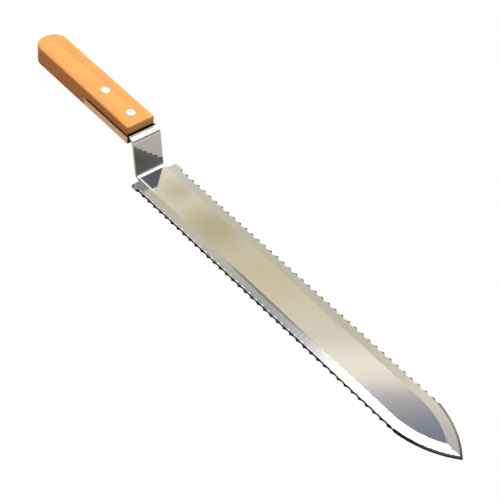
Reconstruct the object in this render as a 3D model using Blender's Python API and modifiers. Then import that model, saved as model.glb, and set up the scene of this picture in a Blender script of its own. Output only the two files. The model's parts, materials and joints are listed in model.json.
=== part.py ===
"""Uncapping knife, in metres, +Z up, lying on the flat underside of its blade.

A double-edged blade is cut from one steel sheet together with its cranked tang. The tang sits in a slot sawn
into the front half of a wooden handle, and two cutler's rivets clamp wood and steel together. X runs from the
handle's butt to the blade's tip, and the origin is under the middle of the whole length.
"""

import math

import bmesh
import bpy
from mathutils import Vector

# Blade. The heel line is the straight back end of the wide blade, where the narrow tang joins it.
SHEET = 0.0016
BLADE_LENGTH = 0.2817
BLADE_WIDTH = 0.0368
POINT_START = 0.236
HEEL_CORNER_RADIUS = 0.0015
CORNER_STEPS = 4
GRIND_WIDTH = 0.0079
GRIND_DROP = 0.0003
EDGE_FACET_WIDTH = 0.0008
EDGE_FACET_DROP = 0.0002
GRIND_OVERRUN = 1.15
GRIND_START = 0.0018
POINT_STEPS = 14

# Serrations: pointed crests with round hollows between them, staggered from one edge to the other.
TOOTH_PITCH = 0.006
HOLLOWS = 39
HOLLOW_DEPTH = 0.00125
HOLLOW_STEPS = 5
FIRST_CREST = {-1: 0.0056, 1: 0.0072}
LAST_HOLLOW_LENGTH = 0.005
LAST_HOLLOW_DEPTH = 0.001

# Crank: the sheet turns up behind the heel, leans back a little, and turns level again to form the tang.
TANG_WIDTH = 0.0218
TANG_FILLET = 0.0012
BEND_RADIUS = 0.0023
RISER_LEAN = math.radians(11.5)
RISER_FOOT = 0.0036
BEND_STEPS = 6
BLADE_SHARP_ANGLE = math.radians(20)

# Handle.
HANDLE_FRONT = 0.0151
HANDLE_LENGTH = 0.1071
HANDLE_WIDTH = 0.0214
HANDLE_HEIGHT = 0.0142
HANDLE_MIDDLE_Z = 0.0281
BUTT_DEPTH = 0.0095
BUTT_STEPS = 14
HANDLE_ROUNDING = 0.0012
ROUNDING_STEPS = 4
ROUNDED_ANGLE = math.radians(50)
HANDLE_SHARP_ANGLE = math.radians(40)
SLOT_DEPTH = 0.0452
TANG_END_GAP = 0.001

# Rivets: each is a male half from above and a female half from below.
RIVET_FROM_FRONT = 0.0115
RIVET_SPACING = 0.027
RIVET_NAMES = ("front", "rear")
HEAD_RADIUS = 0.0035
HEAD_THICKNESS = 0.001
HEAD_DOME = 0.0004
DOME_STEPS = 5
BARREL_RADIUS = 0.0024
PIN_RADIUS = 0.0013
RIVET_STEPS = 32

GAP = 0.0003
MARGIN = 0.002
MERGE = 0.000005
FLAT_ANGLE = math.radians(0.1)

OVERALL_LENGTH = HANDLE_FRONT + HANDLE_LENGTH + BLADE_LENGTH
HEEL_X = OVERALL_LENGTH / 2 - BLADE_LENGTH
FRONT_X = HEEL_X - HANDLE_FRONT
HALF_WIDTH = BLADE_WIDTH / 2
POINT_RUN = BLADE_LENGTH - POINT_START
POINT_RADIUS = (POINT_RUN**2 + HALF_WIDTH**2) / BLADE_WIDTH
TANG_END_X = FRONT_X - SLOT_DEPTH + TANG_END_GAP

STEEL = ("blade_steel", (0.62, 0.60, 0.56, 1), 0.22, 1.0)
WOOD = ("varnished_wood", (0.85, 0.48, 0.16, 1), 0.4, 0.0)
RIVET_METAL = ("rivet_metal", (0.86, 0.86, 0.87, 1), 0.3, 1.0)


def clear_scene():
    for obj in list(bpy.data.objects):
        bpy.data.objects.remove(obj, do_unlink=True)


def new_collection(name):
    made = bpy.data.collections.new(name)
    bpy.context.scene.collection.children.link(made)
    return made


def new_material(name, colour, roughness, metallic):
    made = bpy.data.materials.new(name)
    made.use_nodes = True
    shader = made.node_tree.nodes["Principled BSDF"]
    shader.inputs["Base Color"].default_value = colour
    shader.inputs["Roughness"].default_value = roughness
    shader.inputs["Metallic"].default_value = metallic
    return made


def arc(centre, radius, start, end, steps):
    """Points of a circle's arc in a plane, from the start angle to the end angle, both ends included."""
    turn = (end - start) / steps
    angles = [start + turn * step for step in range(steps + 1)]
    return [(centre[0] + radius * math.cos(a), centre[1] + radius * math.sin(a)) for a in angles]


def solid_from_curve(curve, name, collection, rotation=(0, 0, 0)):
    """Turns a curve's surface into a closed mesh object, with the curve's loose caps welded on."""
    source = bpy.data.objects.new(name + "_curve", curve)
    source.rotation_euler = rotation
    collection.objects.link(source)
    graph = bpy.context.evaluated_depsgraph_get()
    mesh = bpy.data.meshes.new_from_object(source.evaluated_get(graph))
    work = bmesh.new()
    work.from_mesh(mesh)
    bmesh.ops.remove_doubles(work, verts=work.verts, dist=MERGE)
    bmesh.ops.dissolve_limit(work, angle_limit=FLAT_ANGLE, verts=work.verts, edges=work.edges)
    bmesh.ops.recalc_face_normals(work, faces=work.faces)
    work.to_mesh(mesh)
    work.free()
    solid = bpy.data.objects.new(name, mesh)
    solid.matrix_world = source.matrix_world
    collection.objects.link(solid)
    bpy.data.objects.remove(source, do_unlink=True)
    return solid


def poly_spline(curve, points, closed):
    spline = curve.splines.new("POLY")
    spline.points.add(len(points) - 1)
    for point, place in zip(spline.points, points):
        point.co = (*Vector(place).to_3d(), 1)
    spline.use_cyclic_u = closed


def prism(name, outline, half_depth, collection, rotation=(0, 0, 0)):
    """A flat outline given a thickness, as a closed mesh."""
    curve = bpy.data.curves.new(name, "CURVE")
    curve.dimensions = "2D"
    curve.fill_mode = "BOTH"
    curve.extrude = half_depth
    poly_spline(curve, outline, closed=True)
    return solid_from_curve(curve, name, collection, rotation)


def lathe(name, profile, collection):
    """A profile of (radius, height) points turned about the vertical axis, its poles on the axis."""
    mesh = bpy.data.meshes.new(name)
    vertices = [(radius, 0, height) for radius, height in profile]
    mesh.from_pydata(vertices, [(i, i + 1) for i in range(len(vertices) - 1)], [])
    turned = bpy.data.objects.new(name, mesh)
    collection.objects.link(turned)
    screw = turned.modifiers.new("Turn", "SCREW")
    screw.angle = math.tau
    screw.steps = RIVET_STEPS
    screw.render_steps = RIVET_STEPS
    screw.use_merge_vertices = True
    screw.merge_threshold = MERGE
    return turned


def as_cutter(obj):
    obj.hide_render = True
    obj.display_type = "WIRE"
    return obj


def cut(target, cutter, operation="DIFFERENCE"):
    boolean = target.modifiers.new(f"{operation.title()} {cutter.name}", "BOOLEAN")
    boolean.operation = operation
    boolean.object = cutter


def finish(obj, material):
    obj.data.materials.clear()
    obj.data.materials.append(material)


def smooth_round_faces(obj, largest_angle):
    obj.data.shade_smooth()
    obj.data.set_sharp_from_angle(angle=largest_angle)


# ---- Blade -------------------------------------------------------------------------------------------------


def half_width_at(distance):
    """Half of the blade's width at a distance from the heel: parallel edges, then an arc in to the point."""
    along = max(distance - POINT_START, 0)
    return math.sqrt(max(POINT_RADIUS**2 - along**2, 0)) - (POINT_RADIUS - HALF_WIDTH)


def hollow(start, end, depth):
    """One round hollow of the serrated edge as (distance, half width) points, without its end crest."""
    first = Vector((start, half_width_at(start)))
    last = Vector((end, half_width_at(end)))
    chord = last - first
    radius = (chord.length**2 / 4 + depth**2) / (2 * depth)
    outward = Vector((-chord.y, chord.x)).normalized()
    centre = (first + last) / 2 + outward * (radius - depth)
    spread = math.asin(chord.length / (2 * radius))
    middle = math.atan2(-outward.y, -outward.x)
    return arc(centre, radius, middle - spread, middle + spread, HOLLOW_STEPS)[:-1]


def serrated_edge(side):
    """The serrated edge as (distance, half width) points, from its first crest to its last hollow's end."""
    points = []
    for index in range(HOLLOWS):
        start = FIRST_CREST[side] + index * TOOTH_PITCH
        points += hollow(start, start + TOOTH_PITCH, HOLLOW_DEPTH)
    start = FIRST_CREST[side] + HOLLOWS * TOOTH_PITCH
    return points + hollow(start, start + LAST_HOLLOW_LENGTH, LAST_HOLLOW_DEPTH)


def side_outline(side):
    """One side of the sheet's outline, from the tang's end to the blade's point."""
    tang = TANG_WIDTH / 2
    corner = HEEL_CORNER_RADIUS
    quarter = math.pi / 2
    points = [(TANG_END_X - HEEL_X, tang)]
    points += arc((-TANG_FILLET, tang + TANG_FILLET), TANG_FILLET, -quarter, 0, CORNER_STEPS)
    points += arc((corner, HALF_WIDTH - corner), corner, math.pi, quarter, CORNER_STEPS)
    points += serrated_edge(side)
    plain_start = FIRST_CREST[side] + HOLLOWS * TOOTH_PITCH + LAST_HOLLOW_LENGTH
    for step in range(POINT_STEPS + 1):
        distance = plain_start + (BLADE_LENGTH - plain_start) * step / POINT_STEPS
        points.append((distance, half_width_at(distance)))
    return [(HEEL_X + distance, side * width) for distance, width in points]


def sheet_outline():
    left = side_outline(1)
    right = side_outline(-1)
    return right + left[-2::-1]


def crank_profile():
    """The bent sheet seen from the side, as (x, z) points round its upper and then its under surface."""
    across = Vector((math.cos(RISER_LEAN), math.sin(RISER_LEAN)))
    along = Vector((-math.sin(RISER_LEAN), math.cos(RISER_LEAN)))
    radius = BEND_RADIUS + SHEET / 2
    turn = math.pi / 2 - RISER_LEAN
    foot_x = HEEL_X - RISER_FOOT + BEND_RADIUS * math.tan(turn / 2)
    lower = Vector((foot_x, SHEET / 2 + radius))
    rise = HANDLE_MIDDLE_Z - radius - lower.y + 2 * radius * across.y
    upper = lower - 2 * radius * across + along * rise / along.y
    tip_x = HEEL_X + BLADE_LENGTH + MARGIN
    end_x = TANG_END_X - MARGIN

    def surface(offset):
        """The line at a signed distance above the sheet's middle, from the point to the tang's end."""
        points = [(tip_x, SHEET / 2 + offset)]
        points += arc(lower, radius - offset, -math.pi / 2, -math.pi / 2 - turn, BEND_STEPS)
        points += arc(upper, radius + offset, RISER_LEAN, math.pi / 2, BEND_STEPS)
        points.append((end_x, HANDLE_MIDDLE_Z + offset))
        return points

    return surface(SHEET / 2) + surface(-SHEET / 2)[::-1]


def grind_section():
    """The wedge that the grinding wheel removes, as (distance out from the edge, height) points."""
    edge_top = SHEET - GRIND_DROP - EDGE_FACET_DROP
    slope = GRIND_DROP / (GRIND_WIDTH - EDGE_FACET_WIDTH)
    facet_slope = EDGE_FACET_DROP / EDGE_FACET_WIDTH
    return [
        (-GRIND_WIDTH - MARGIN, SHEET + slope * MARGIN),
        (-EDGE_FACET_WIDTH, SHEET - GRIND_DROP),
        (MARGIN, edge_top - facet_slope * MARGIN),
        (MARGIN, SHEET + MARGIN),
        (-GRIND_WIDTH - MARGIN, SHEET + MARGIN),
    ]


def grind_cutter(side, collection):
    """The wedge swept along one edge: straight from behind the heel, then round the point and past it."""
    centre = (HEEL_X + POINT_START, side * (HALF_WIDTH - POINT_RADIUS))
    sweep = GRIND_OVERRUN * math.asin(POINT_RUN / POINT_RADIUS)
    square = side * math.pi / 2
    path = [(HEEL_X - GRIND_START, side * HALF_WIDTH)]
    path += arc(centre, POINT_RADIUS, square, square - side * sweep, POINT_STEPS)
    section = bpy.data.curves.new("grind_section", "CURVE")
    poly_spline(section, grind_section(), closed=True)
    wheel = bpy.data.objects.new("grind_section", section)
    curve = bpy.data.curves.new("grind_cutter", "CURVE")
    curve.dimensions = "3D"
    curve.twist_mode = "Z_UP"
    curve.bevel_mode = "OBJECT"
    curve.bevel_object = wheel
    curve.use_fill_caps = True
    poly_spline(curve, path[::-side], closed=False)
    cutter = solid_from_curve(curve, "grind_cutter", collection)
    bpy.data.objects.remove(wheel, do_unlink=True)
    return as_cutter(cutter)


def make_blade(parts, cutters, rivet_places):
    quarter_turn = (math.pi / 2, 0, 0)
    blade = prism("blade", crank_profile(), HALF_WIDTH + MARGIN, parts, quarter_turn)
    plan = prism("sheet_outline", sheet_outline(), HANDLE_MIDDLE_Z + MARGIN, cutters)
    cut(blade, as_cutter(plan), "INTERSECT")
    for side in (-1, 1):
        cut(blade, grind_cutter(side, cutters))
    for x in rivet_places:
        cut(blade, bore_cutter(x, cutters))
    finish(blade, new_material(*STEEL))
    smooth_round_faces(blade, BLADE_SHARP_ANGLE)


# ---- Handle ------------------------------------------------------------------------------------------------


def handle_outline():
    """The handle seen from above: square at the front, a half ellipse at the butt."""
    half = HANDLE_WIDTH / 2
    butt_x = FRONT_X - HANDLE_LENGTH + BUTT_DEPTH
    points = [(FRONT_X, -half), (FRONT_X, half)]
    for step in range(BUTT_STEPS + 1):
        angle = math.pi / 2 + math.pi * step / BUTT_STEPS
        points.append((butt_x + BUTT_DEPTH * math.cos(angle), half * math.sin(angle)))
    return points


def mesh_cutter(name, work, place, collection):
    """A cutter at a place, from a finished bmesh."""
    mesh = bpy.data.meshes.new(name)
    work.to_mesh(mesh)
    work.free()
    cutter = bpy.data.objects.new(name, mesh)
    cutter.location = place
    collection.objects.link(cutter)
    return as_cutter(cutter)


def drill(name, radius, depth, place, collection):
    """A round cutter centred on a place, with its axis upright."""
    work = bmesh.new()
    bmesh.ops.create_cone(
        work,
        cap_ends=True,
        segments=RIVET_STEPS,
        radius1=radius,
        radius2=radius,
        depth=depth,
    )
    return mesh_cutter(name, work, place, collection)


def bore_cutter(x, collection):
    """The hole for a rivet's barrel, through wood and tang."""
    depth = HANDLE_HEIGHT + 2 * MARGIN
    return drill("rivet_bore", BARREL_RADIUS + GAP, depth, (x, 0, HANDLE_MIDDLE_Z), collection)


def counterbore_cutter(x, end, collection):
    """The shallow seat for a rivet's head, in the top (end 1) or the bottom (end -1) of the handle."""
    seat_depth = HEAD_THICKNESS + GAP
    height = HANDLE_HEIGHT / 2 + (MARGIN - seat_depth) / 2
    place = (x, 0, HANDLE_MIDDLE_Z + end * height)
    return drill("rivet_seat", HEAD_RADIUS + GAP, seat_depth + MARGIN, place, collection)


def slot_cutter(collection):
    """The saw cut that takes the tang, open at the handle's front and at both sides."""
    size = Vector((SLOT_DEPTH + MARGIN, HANDLE_WIDTH + 2 * MARGIN, SHEET + 2 * GAP))
    work = bmesh.new()
    bmesh.ops.create_cube(work, size=1)
    bmesh.ops.scale(work, vec=size, verts=work.verts)
    middle_x = FRONT_X - (SLOT_DEPTH - MARGIN) / 2
    return mesh_cutter("tang_slot", work, (middle_x, 0, HANDLE_MIDDLE_Z), collection)


def make_handle(parts, cutters, rivet_places):
    handle = prism("handle", handle_outline(), HANDLE_HEIGHT / 2, parts)
    handle.location.z = HANDLE_MIDDLE_Z
    bevel = handle.modifiers.new("Rounded edges", "BEVEL")
    bevel.width = HANDLE_ROUNDING
    bevel.segments = ROUNDING_STEPS
    bevel.limit_method = "ANGLE"
    bevel.angle_limit = ROUNDED_ANGLE
    cut(handle, slot_cutter(cutters))
    for x in rivet_places:
        cut(handle, bore_cutter(x, cutters))
        for end in (-1, 1):
            cut(handle, counterbore_cutter(x, end, cutters))
    finish(handle, new_material(*WOOD))
    smooth_round_faces(handle, HANDLE_SHARP_ANGLE)


# ---- Rivets ------------------------------------------------------------------------------------------------


def head_profile():
    """A domed head, its flat back at height 0, from its crown down its rim to its back."""
    dome_radius = (HEAD_RADIUS**2 + HEAD_DOME**2) / (2 * HEAD_DOME)
    edge_angle = math.asin(HEAD_RADIUS / dome_radius)
    drop = HEAD_THICKNESS + HEAD_DOME - dome_radius
    angles = [edge_angle * step / DOME_STEPS for step in range(DOME_STEPS + 1)]
    points = [(dome_radius * math.sin(a), drop + dome_radius * math.cos(a)) for a in angles]
    return points + [(HEAD_RADIUS, 0)]


def make_rivet(name, x, parts, metal):
    """A pin on the upper head, reaching down into the barrel on the lower head."""
    seat = HANDLE_HEIGHT / 2 - HEAD_THICKNESS
    reach = 2 * seat - GAP
    pin = head_profile() + [(PIN_RADIUS, 0), (PIN_RADIUS, -reach + GAP), (0, -reach + GAP)]
    male = lathe(f"rivet_{name}_male", pin, parts)
    male.location = (x, 0, HANDLE_MIDDLE_Z + seat)
    bore = PIN_RADIUS + GAP
    barrel = head_profile() + [(BARREL_RADIUS, 0), (BARREL_RADIUS, -reach), (bore, -reach), (bore, 0), (0, 0)]
    female = lathe(f"rivet_{name}_female", barrel, parts)
    female.location = (x, 0, HANDLE_MIDDLE_Z - seat)
    female.rotation_euler = (math.pi, 0, 0)
    for half in (male, female):
        finish(half, metal)
        half.data.shade_smooth()


def main():
    clear_scene()
    parts = new_collection("uncapping_knife")
    cutters = new_collection("cutters")
    first_rivet = FRONT_X - RIVET_FROM_FRONT
    rivet_places = [first_rivet - index * RIVET_SPACING for index in range(len(RIVET_NAMES))]
    make_blade(parts, cutters, rivet_places)
    make_handle(parts, cutters, rivet_places)
    metal = new_material(*RIVET_METAL)
    for name, x in zip(RIVET_NAMES, rivet_places):
        make_rivet(name, x, parts, metal)


main()
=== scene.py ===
# %% [markdown]
# # An uncapping knife, ready for its studio picture
# A beekeeper slides this long, double-edged knife under the wax caps of a honeycomb. The real tool is one
# strip of steel with a cranked tang, a wooden handle with a saw cut for that tang, and two cutler's rivets.
# The CAD model fixes every size and place. This lesson builds finer meshes inside the same box and gives
# each surface a finish of its own.
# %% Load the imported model
import json
import math

import bmesh
import bpy
from mathutils import Matrix, Vector

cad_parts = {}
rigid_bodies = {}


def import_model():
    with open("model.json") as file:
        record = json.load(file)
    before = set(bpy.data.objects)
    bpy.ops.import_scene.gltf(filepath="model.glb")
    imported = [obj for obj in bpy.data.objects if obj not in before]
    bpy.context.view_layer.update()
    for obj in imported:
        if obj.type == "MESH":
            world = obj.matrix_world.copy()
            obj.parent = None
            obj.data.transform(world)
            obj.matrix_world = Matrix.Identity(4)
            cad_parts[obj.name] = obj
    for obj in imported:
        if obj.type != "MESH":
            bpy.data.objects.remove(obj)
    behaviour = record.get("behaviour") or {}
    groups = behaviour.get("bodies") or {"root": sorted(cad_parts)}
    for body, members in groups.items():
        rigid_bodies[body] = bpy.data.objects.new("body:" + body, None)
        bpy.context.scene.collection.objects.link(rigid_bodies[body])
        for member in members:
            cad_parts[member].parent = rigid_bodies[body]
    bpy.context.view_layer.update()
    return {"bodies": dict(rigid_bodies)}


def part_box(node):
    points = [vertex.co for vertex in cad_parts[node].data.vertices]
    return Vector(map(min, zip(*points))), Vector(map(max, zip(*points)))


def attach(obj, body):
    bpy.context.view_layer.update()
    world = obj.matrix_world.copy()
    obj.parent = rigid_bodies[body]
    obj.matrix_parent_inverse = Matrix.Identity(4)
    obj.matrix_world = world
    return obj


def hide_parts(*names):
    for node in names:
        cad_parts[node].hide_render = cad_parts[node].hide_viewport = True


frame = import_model()
BODY = next(iter(frame["bodies"]))

# %% [markdown]
# ## Sizes, read from the frame
# A maker works from the drawing. The blade node's box gives the point, the widest place and the underside,
# and the handle node's box gives the wood. The few sizes that a box can't tell, such as the thickness of
# the sheet or the pitch of the serrations, are named here in metres and repeat the CAD model's.
# %% Main sizes
MM = 0.001
blade_low, blade_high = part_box("blade")
handle_low, handle_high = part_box("handle")
TIP_X = blade_high.x
HALF_WIDTH = blade_high.y
BLADE_LENGTH = 281.7 * MM
HEEL_X = TIP_X - BLADE_LENGTH
SHEET = 1.6 * MM
TANG_HALF = 10.9 * MM
TANG_MIDDLE_Z = (handle_low.z + handle_high.z) / 2
HANDLE_FRONT_X = handle_high.x
POINT_START = 236 * MM
POINT_RUN = BLADE_LENGTH - POINT_START
POINT_RADIUS = (POINT_RUN**2 + HALF_WIDTH**2) / (2 * HALF_WIDTH)
print(f"heel at {HEEL_X / MM:.1f} mm, tip at {TIP_X / MM:.1f} mm, arc radius {POINT_RADIUS / MM:.1f} mm")

# %% [markdown]
# ## Sums inside a node tree
# A shader or a geometry tree can do arithmetic, but a page of Math nodes is hard to read. `Flow` wraps one
# socket, so that an ordinary Python sum such as `1 - mask * 0.3` adds the Math nodes for us. `Graph.add`
# makes every other node: it sets the node's settings first, because they can change which sockets it has,
# and then fills or links the sockets.
# %% Node helpers
class Flow:
    """One output socket, usable in ordinary sums."""

    def __init__(self, graph, socket):
        self.graph = graph
        self.socket = socket

    def __add__(self, other):
        return self.graph.math("ADD", self, other)

    def __sub__(self, other):
        return self.graph.math("SUBTRACT", self, other)

    def __mul__(self, other):
        return self.graph.math("MULTIPLY", self, other)

    def __truediv__(self, other):
        return self.graph.math("DIVIDE", self, other)

    def __rsub__(self, other):
        return self.graph.math("SUBTRACT", other, self)

    def __abs__(self):
        return self.graph.math("ABSOLUTE", self)

    __radd__ = __add__
    __rmul__ = __mul__


class Graph:
    """A node tree that hands out Flows."""

    def __init__(self, tree):
        self.tree = tree

    def add(self, kind, settings=None, sockets=None, out=0):
        node = self.tree.nodes.new(kind)
        for name, value in (settings or {}).items():
            if name == "stops":
                self.fill_ramp(node.color_ramp, value)
            else:
                setattr(node, name, value)
        for name, value in (sockets or {}).items():
            if isinstance(value, Flow):
                self.tree.links.new(value.socket, node.inputs[name])
            else:
                node.inputs[name].default_value = value
        return Flow(self, node.outputs[out]) if node.outputs else node

    def fill_ramp(self, ramp, stops):
        while len(ramp.elements) < len(stops):
            ramp.elements.new(1)
        for element, (place, colour) in zip(ramp.elements, stops):
            element.position = place
            element.color = (*colour, 1)

    def math(self, operation, first, second=0.0):
        return self.add("ShaderNodeMath", {"operation": operation}, {0: first, 1: second})

    def mix(self, factor, first, second):
        """A colour between two others."""
        first, second = ((*c, 1) if isinstance(c, tuple) else c for c in (first, second))
        return self.add("ShaderNodeMix", {"data_type": "RGBA"}, {0: factor, 6: first, 7: second}, 2)

    def step(self, value, low, high):
        """0 below low and 1 above high, with a smooth rise between them."""
        limits = {0: value, 1: low, 2: high}
        return self.add("ShaderNodeMapRange", {"interpolation_type": "SMOOTHSTEP"}, limits)

    def band(self, value, rise, fall):
        """1 between two slopes and 0 outside them; each slope is a (low, high) pair."""
        return self.step(value, *rise) * (1 - self.step(value, *fall))


print("node helpers ready")

# %% [markdown]
# ## The path of the bent sheet
# Seen from the side the steel is one line: flat blade, a tight bend up, a riser that leans back 11.5
# degrees, a bend back to level, and the tang. A bend in real sheet has a radius, because steel folded sharp
# would crack. Each station on this path stores a middle point and the direction that the upper face looks.
# The loft in the next cells places its cross-sections there. Rows stand close to each bend, so that smooth
# shading turns inside the bend and the flats stay flat. In front of the wood the neck has two short parts:
# at the mouth of the saw cut its top is painted near black, a painted shadow, and after that it is rough
# satin painted bright, a painted highlight.
# %% Stations along tang, riser and bends
BEND_RADIUS = 2.3 * MM + SHEET / 2
RISER_LEAN = math.radians(11.5)
RISER_FOOT = 3.6 * MM
# How far from the wood the neck's top is painted near black, as a painted shadow.
MOUTH_REACH = 1.5 * MM
BEND_ROWS = 22
FLAT_HOLD = 0.25 * MM
BEND_TURN = math.pi / 2 - RISER_LEAN


def bend_stations():
    """(point, normal, kind) in the XZ plane, from the tang's end to just behind the heel."""
    foot_x = HEEL_X - RISER_FOOT + (BEND_RADIUS - SHEET / 2) * math.tan(BEND_TURN / 2)
    lower = Vector((foot_x, SHEET / 2 + BEND_RADIUS))
    across = Vector((math.cos(RISER_LEAN), math.sin(RISER_LEAN)))
    along = Vector((-math.sin(RISER_LEAN), math.cos(RISER_LEAN)))
    rise = TANG_MIDDLE_Z - BEND_RADIUS - lower.y + 2 * BEND_RADIUS * across.y
    upper = lower - 2 * BEND_RADIUS * across + along * rise / along.y
    up = Vector((0, 1))
    stations = [(Vector((blade_low.x, TANG_MIDDLE_Z)), up, "tang")]
    neck = (HANDLE_FRONT_X, "mouth"), (HANDLE_FRONT_X + MOUTH_REACH, "satin"), (upper.x - FLAT_HOLD, "satin")
    for x, kind in neck:
        stations.append((Vector((x, TANG_MIDDLE_Z)), up, kind))
    for row in range(BEND_ROWS + 1):
        angle = math.pi / 2 - BEND_TURN * row / BEND_ROWS
        normal = Vector((math.cos(angle), math.sin(angle)))
        stations.append((upper + normal * BEND_RADIUS, normal, "bend"))
    top, foot = stations[-1][0], lower - across * BEND_RADIUS
    slope = (foot - top).normalized() * FLAT_HOLD
    stations.append((top + slope, across, "riser"))
    stations.append((foot - slope, across, "riser"))
    for row in range(BEND_ROWS + 1):
        angle = RISER_LEAN + BEND_TURN * row / BEND_ROWS
        normal = Vector((math.cos(angle), math.sin(angle)))
        stations.append((lower - normal * BEND_RADIUS, normal, "bend"))
    stations.append((Vector((foot_x + FLAT_HOLD, SHEET / 2)), up, "heel"))
    return stations


crank = bend_stations()
print(len(crank), "stations from the tang's end to the heel")

# %% [markdown]
# ## How wide and how thick the blade is
# The blade's outline is a rule: parallel edges, then one arc on each side in to the point. So is its
# thickness. The grinding wheel takes a band of constant width off each edge, so the height depends only on
# how far a place is from its edge. Close to the point the two bands meet in a ridge on the middle line.
# Writing the rule once and sampling it keeps the ground faces exact. The two edges' serrations start at
# different places, and `FIRST_CREST` holds both.
# %% Rules for the outline and the grind
GRIND_WIDTH = 7.9 * MM
GRIND_DROP = 0.3 * MM
FACET_WIDTH = 1.45 * MM
FACET_DROP = 0.06 * MM
CORNER_RADIUS = 1.5 * MM
FILLET_RADIUS = 1.2 * MM
ARC_CENTRE = POINT_RADIUS - HALF_WIDTH
FIRST_CREST = {-1: 5.6 * MM, 1: 7.2 * MM}


def half_width(along, inset=0.0):
    """Half of the blade's width at a distance from the heel, or of a line inset from its edge."""
    past = max(along - POINT_START, 0)
    radius = POINT_RADIUS - inset
    return max(math.sqrt(max(radius**2 - past**2, 0)) - ARC_CENTRE, 0)


def sheared_half_width(along):
    """The same before the serrations, with the fillet at the tang and the rounded corner at the heel."""
    if along < 0:
        rise = math.sqrt(max(FILLET_RADIUS**2 - (along + FILLET_RADIUS) ** 2, 0))
        return TANG_HALF + FILLET_RADIUS - rise
    if along < CORNER_RADIUS:
        rise = math.sqrt(CORNER_RADIUS**2 - (CORNER_RADIUS - along) ** 2)
        return HALF_WIDTH - CORNER_RADIUS + rise
    return half_width(along)


def ground_height(along, across):
    """Height of the upper face."""
    past = max(along - POINT_START, 0)
    inside = POINT_RADIUS - math.hypot(past, abs(across) + ARC_CENTRE)
    share = min(max((GRIND_WIDTH - inside) / (GRIND_WIDTH - FACET_WIDTH), 0), 1)
    facet_share = min(max((FACET_WIDTH - inside) / FACET_WIDTH, 0), 1)
    run_in = min(max(1 + along / FILLET_RADIUS, 0), 1)
    return SHEET - run_in * (GRIND_DROP * share + FACET_DROP * facet_share)


print(f"grind meets on the middle line where the blade is {2 * GRIND_WIDTH / MM:.1f} mm wide or less")

# %% [markdown]
# ## Lofting the blank
# Rows of points across the blade are joined with quads, like planks between ribs. Each half-row holds the
# middle line, the inner side of a streak beside the tang's foot that is painted bright as a painted
# reflection, the shoulder of the grind, the line where the tang's side runs in, the middle of the ground
# face, the start of the small facet and the edge.
# Where the shoulder reaches the middle line the points fall together, and merging them closes the ridge.
# Every face is told its finish, because later each finish is its own material.
# %% Rows of the blade
SHOULDER_BY_TANG = (TANG_HALF - half_width(0, GRIND_WIDTH)) / (GRIND_WIDTH - FACET_WIDTH)
HEEL_ALONG = [-1.2, -0.85, -0.5, -0.22, -0.03, 0, 0.06, 0.2, 0.42, 0.75, 1.1, 1.5]
# A narrow streak on the near side by the tang's foot is painted bright with the satin finish: a painted
# reflection.
STREAK_WIDTH = 1.2 * MM
STREAK_END = 8 * MM
WING_SHARES = (0, 0.5, 0.9, 1)
FACET_LIMIT = 0.9999
STRAIGHT_ROWS = 24
POINT_ROWS = 44


def blade_rows():
    """Distances from the heel at which the blade has a row."""
    rows = [along * MM for along in HEEL_ALONG]
    start = rows[-1]
    rows += [start + (POINT_START - start) * row / STRAIGHT_ROWS for row in range(1, STRAIGHT_ROWS + 1)]
    meeting = POINT_START + math.sqrt((POINT_RADIUS - GRIND_WIDTH) ** 2 - ARC_CENTRE**2)
    turns = [math.pi / 2 * row / POINT_ROWS for row in range(1, POINT_ROWS + 1)]
    rows += [POINT_START + POINT_RUN * math.sin(turn) for turn in turns]
    return sorted(rows + [meeting] + list(FIRST_CREST.values()))


def inner_columns(shoulder):
    """The middle line, the inner side of the satin streak, and the shoulder of the grind."""
    return [0, shoulder - min(STREAK_WIDTH, shoulder / 2), shoulder]


def half_row(along):
    """(distance across, face kind outside it) from the middle line to the edge."""
    edge = sheared_half_width(along)
    if along < 0:
        side = edge - TANG_HALF
        shoulder = half_width(0, GRIND_WIDTH)
        wing = [TANG_HALF + side * share for share in WING_SHARES]
        return inner_columns(shoulder) + wing
    shoulder = half_width(along, GRIND_WIDTH)
    facet = min(half_width(along, FACET_WIDTH), edge * FACET_LIMIT)
    tang = shoulder + (facet - shoulder) * SHOULDER_BY_TANG
    return inner_columns(shoulder) + [tang, (tang + facet) / 2, facet, edge]


COLUMN_FINISH = ["polished", "polished", "ground", "ground", "ground", "facet"]
FINISHES = ["polished", "ground", "facet", "painted_black", "bend", "scallop", "satin"]
print(len(blade_rows()), "rows across the blade")

# %% [markdown]
# The loft walks along the stations, adds an upper and a lower vertex for each column, and joins each row to
# the one before. The tang, riser and bends use only the inner columns, so the wings of the blade start
# behind the heel with no width and open out along the fillet.
# %% Build the blank
MERGE = 0.002 * MM


def full_row(half):
    return [-across for across in reversed(half[1:])] + half


def sheet_rows():
    """For each row: (list of upper points, list of lower points, kind)."""
    shoulder = half_width(0, GRIND_WIDTH)
    tang_row = full_row(inner_columns(shoulder) + [TANG_HALF])
    rows = []
    for middle, normal, kind in crank:
        upper = middle + normal * SHEET / 2
        lower = middle - normal * SHEET / 2
        top = [(upper.x, y, upper.y) for y in tang_row]
        rows.append((top, [(lower.x, y, lower.y) for y in tang_row], kind))
    for along in blade_rows():
        ys = full_row(half_row(along))
        x = HEEL_X + along
        top = [(x, y, ground_height(along, y)) for y in ys]
        rows.append((top, [(x, y, 0) for y in ys], "blade"))
    return rows


def is_serrated(x, y):
    """Whether a place is past the first crest of its edge."""
    return x > HEEL_X + FIRST_CREST[1 if y > 0 else -1] - MERGE


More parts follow.
